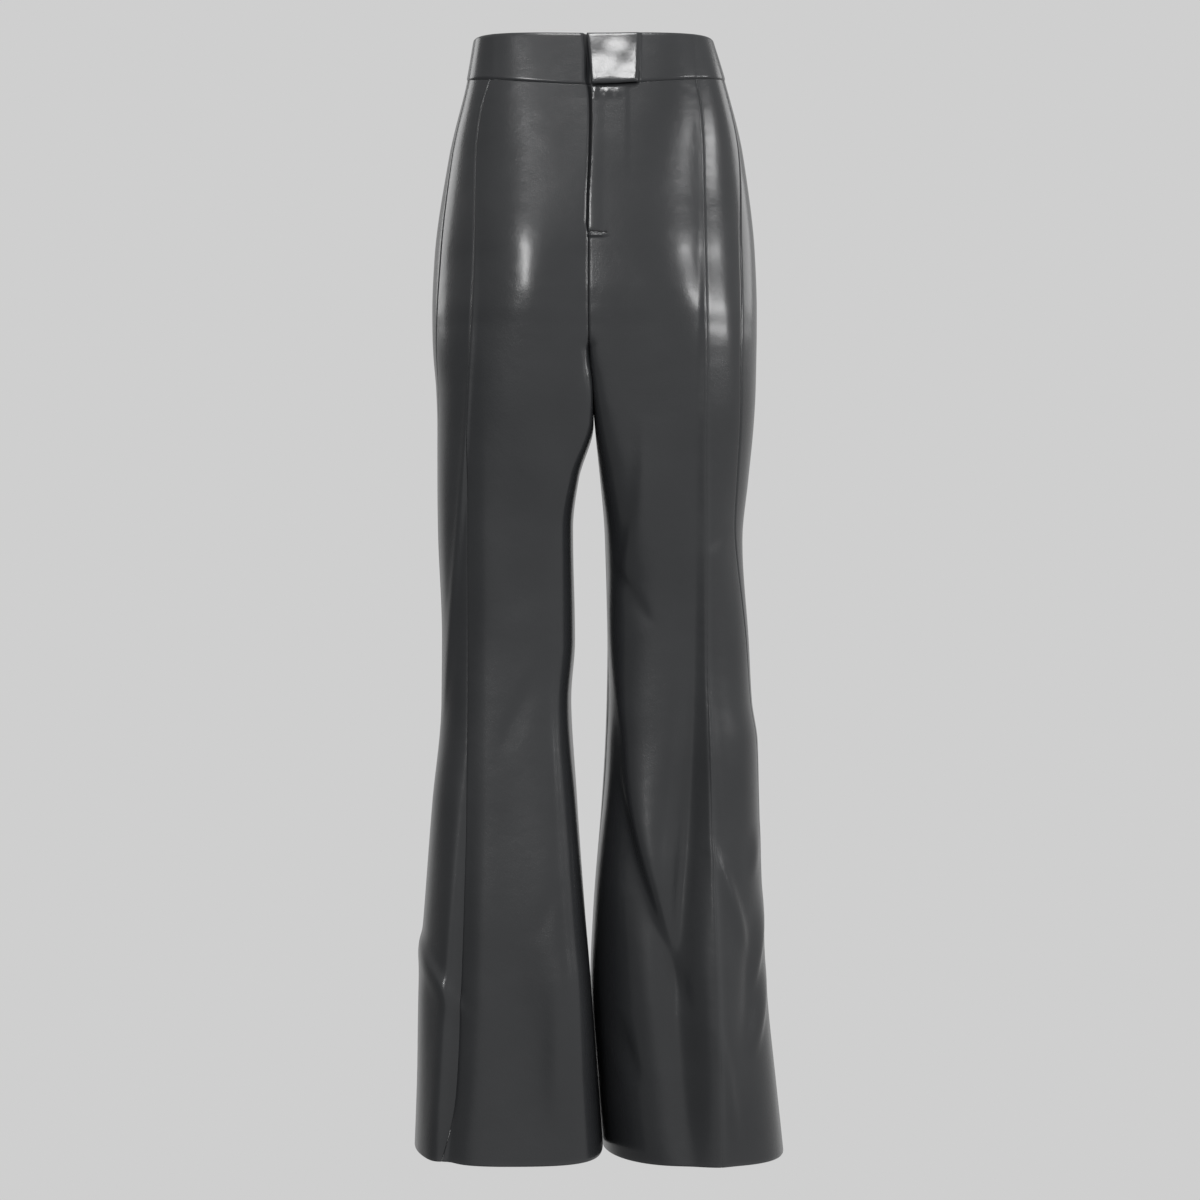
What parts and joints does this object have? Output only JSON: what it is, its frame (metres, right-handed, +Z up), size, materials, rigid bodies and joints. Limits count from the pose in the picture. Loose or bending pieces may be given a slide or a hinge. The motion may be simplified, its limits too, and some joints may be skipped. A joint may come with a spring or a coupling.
{
  "type": "trousers",
  "caption": "High-waisted flared trousers of smooth coated cloth, filled out and hollow, with princess seams and a fly front.",
  "frame": {"origin": "middle of the waist opening, on the middle plane and halfway down the front of the waistband", "axes": "+Z up along the legs, -Y the wearer's front, +X the wearer's left"},
  "size_m": [0.3661, 0.2448, 1.1144],
  "materials": {
    "coated_cloth": "semi-gloss charcoal coating with a fine grain",
    "zip_tape": "woven black tape",
    "nickel": "satin nickel plate"
  },
  "bodies": {
    "root": {"waistband_right": "coated_cloth", "waistband_left": "coated_cloth", "waistband_back": "coated_cloth", "front_right": "coated_cloth", "front_left": "coated_cloth", "side_front_right": "coated_cloth", "side_front_left": "coated_cloth", "back_right": "coated_cloth", "back_left": "coated_cloth", "fly_shield": "coated_cloth", "fly_zip": "zip_tape", "zip_slider": "nickel", "waist_hook": "nickel", "waist_bar": "nickel"}
  },
  "joints": []
}
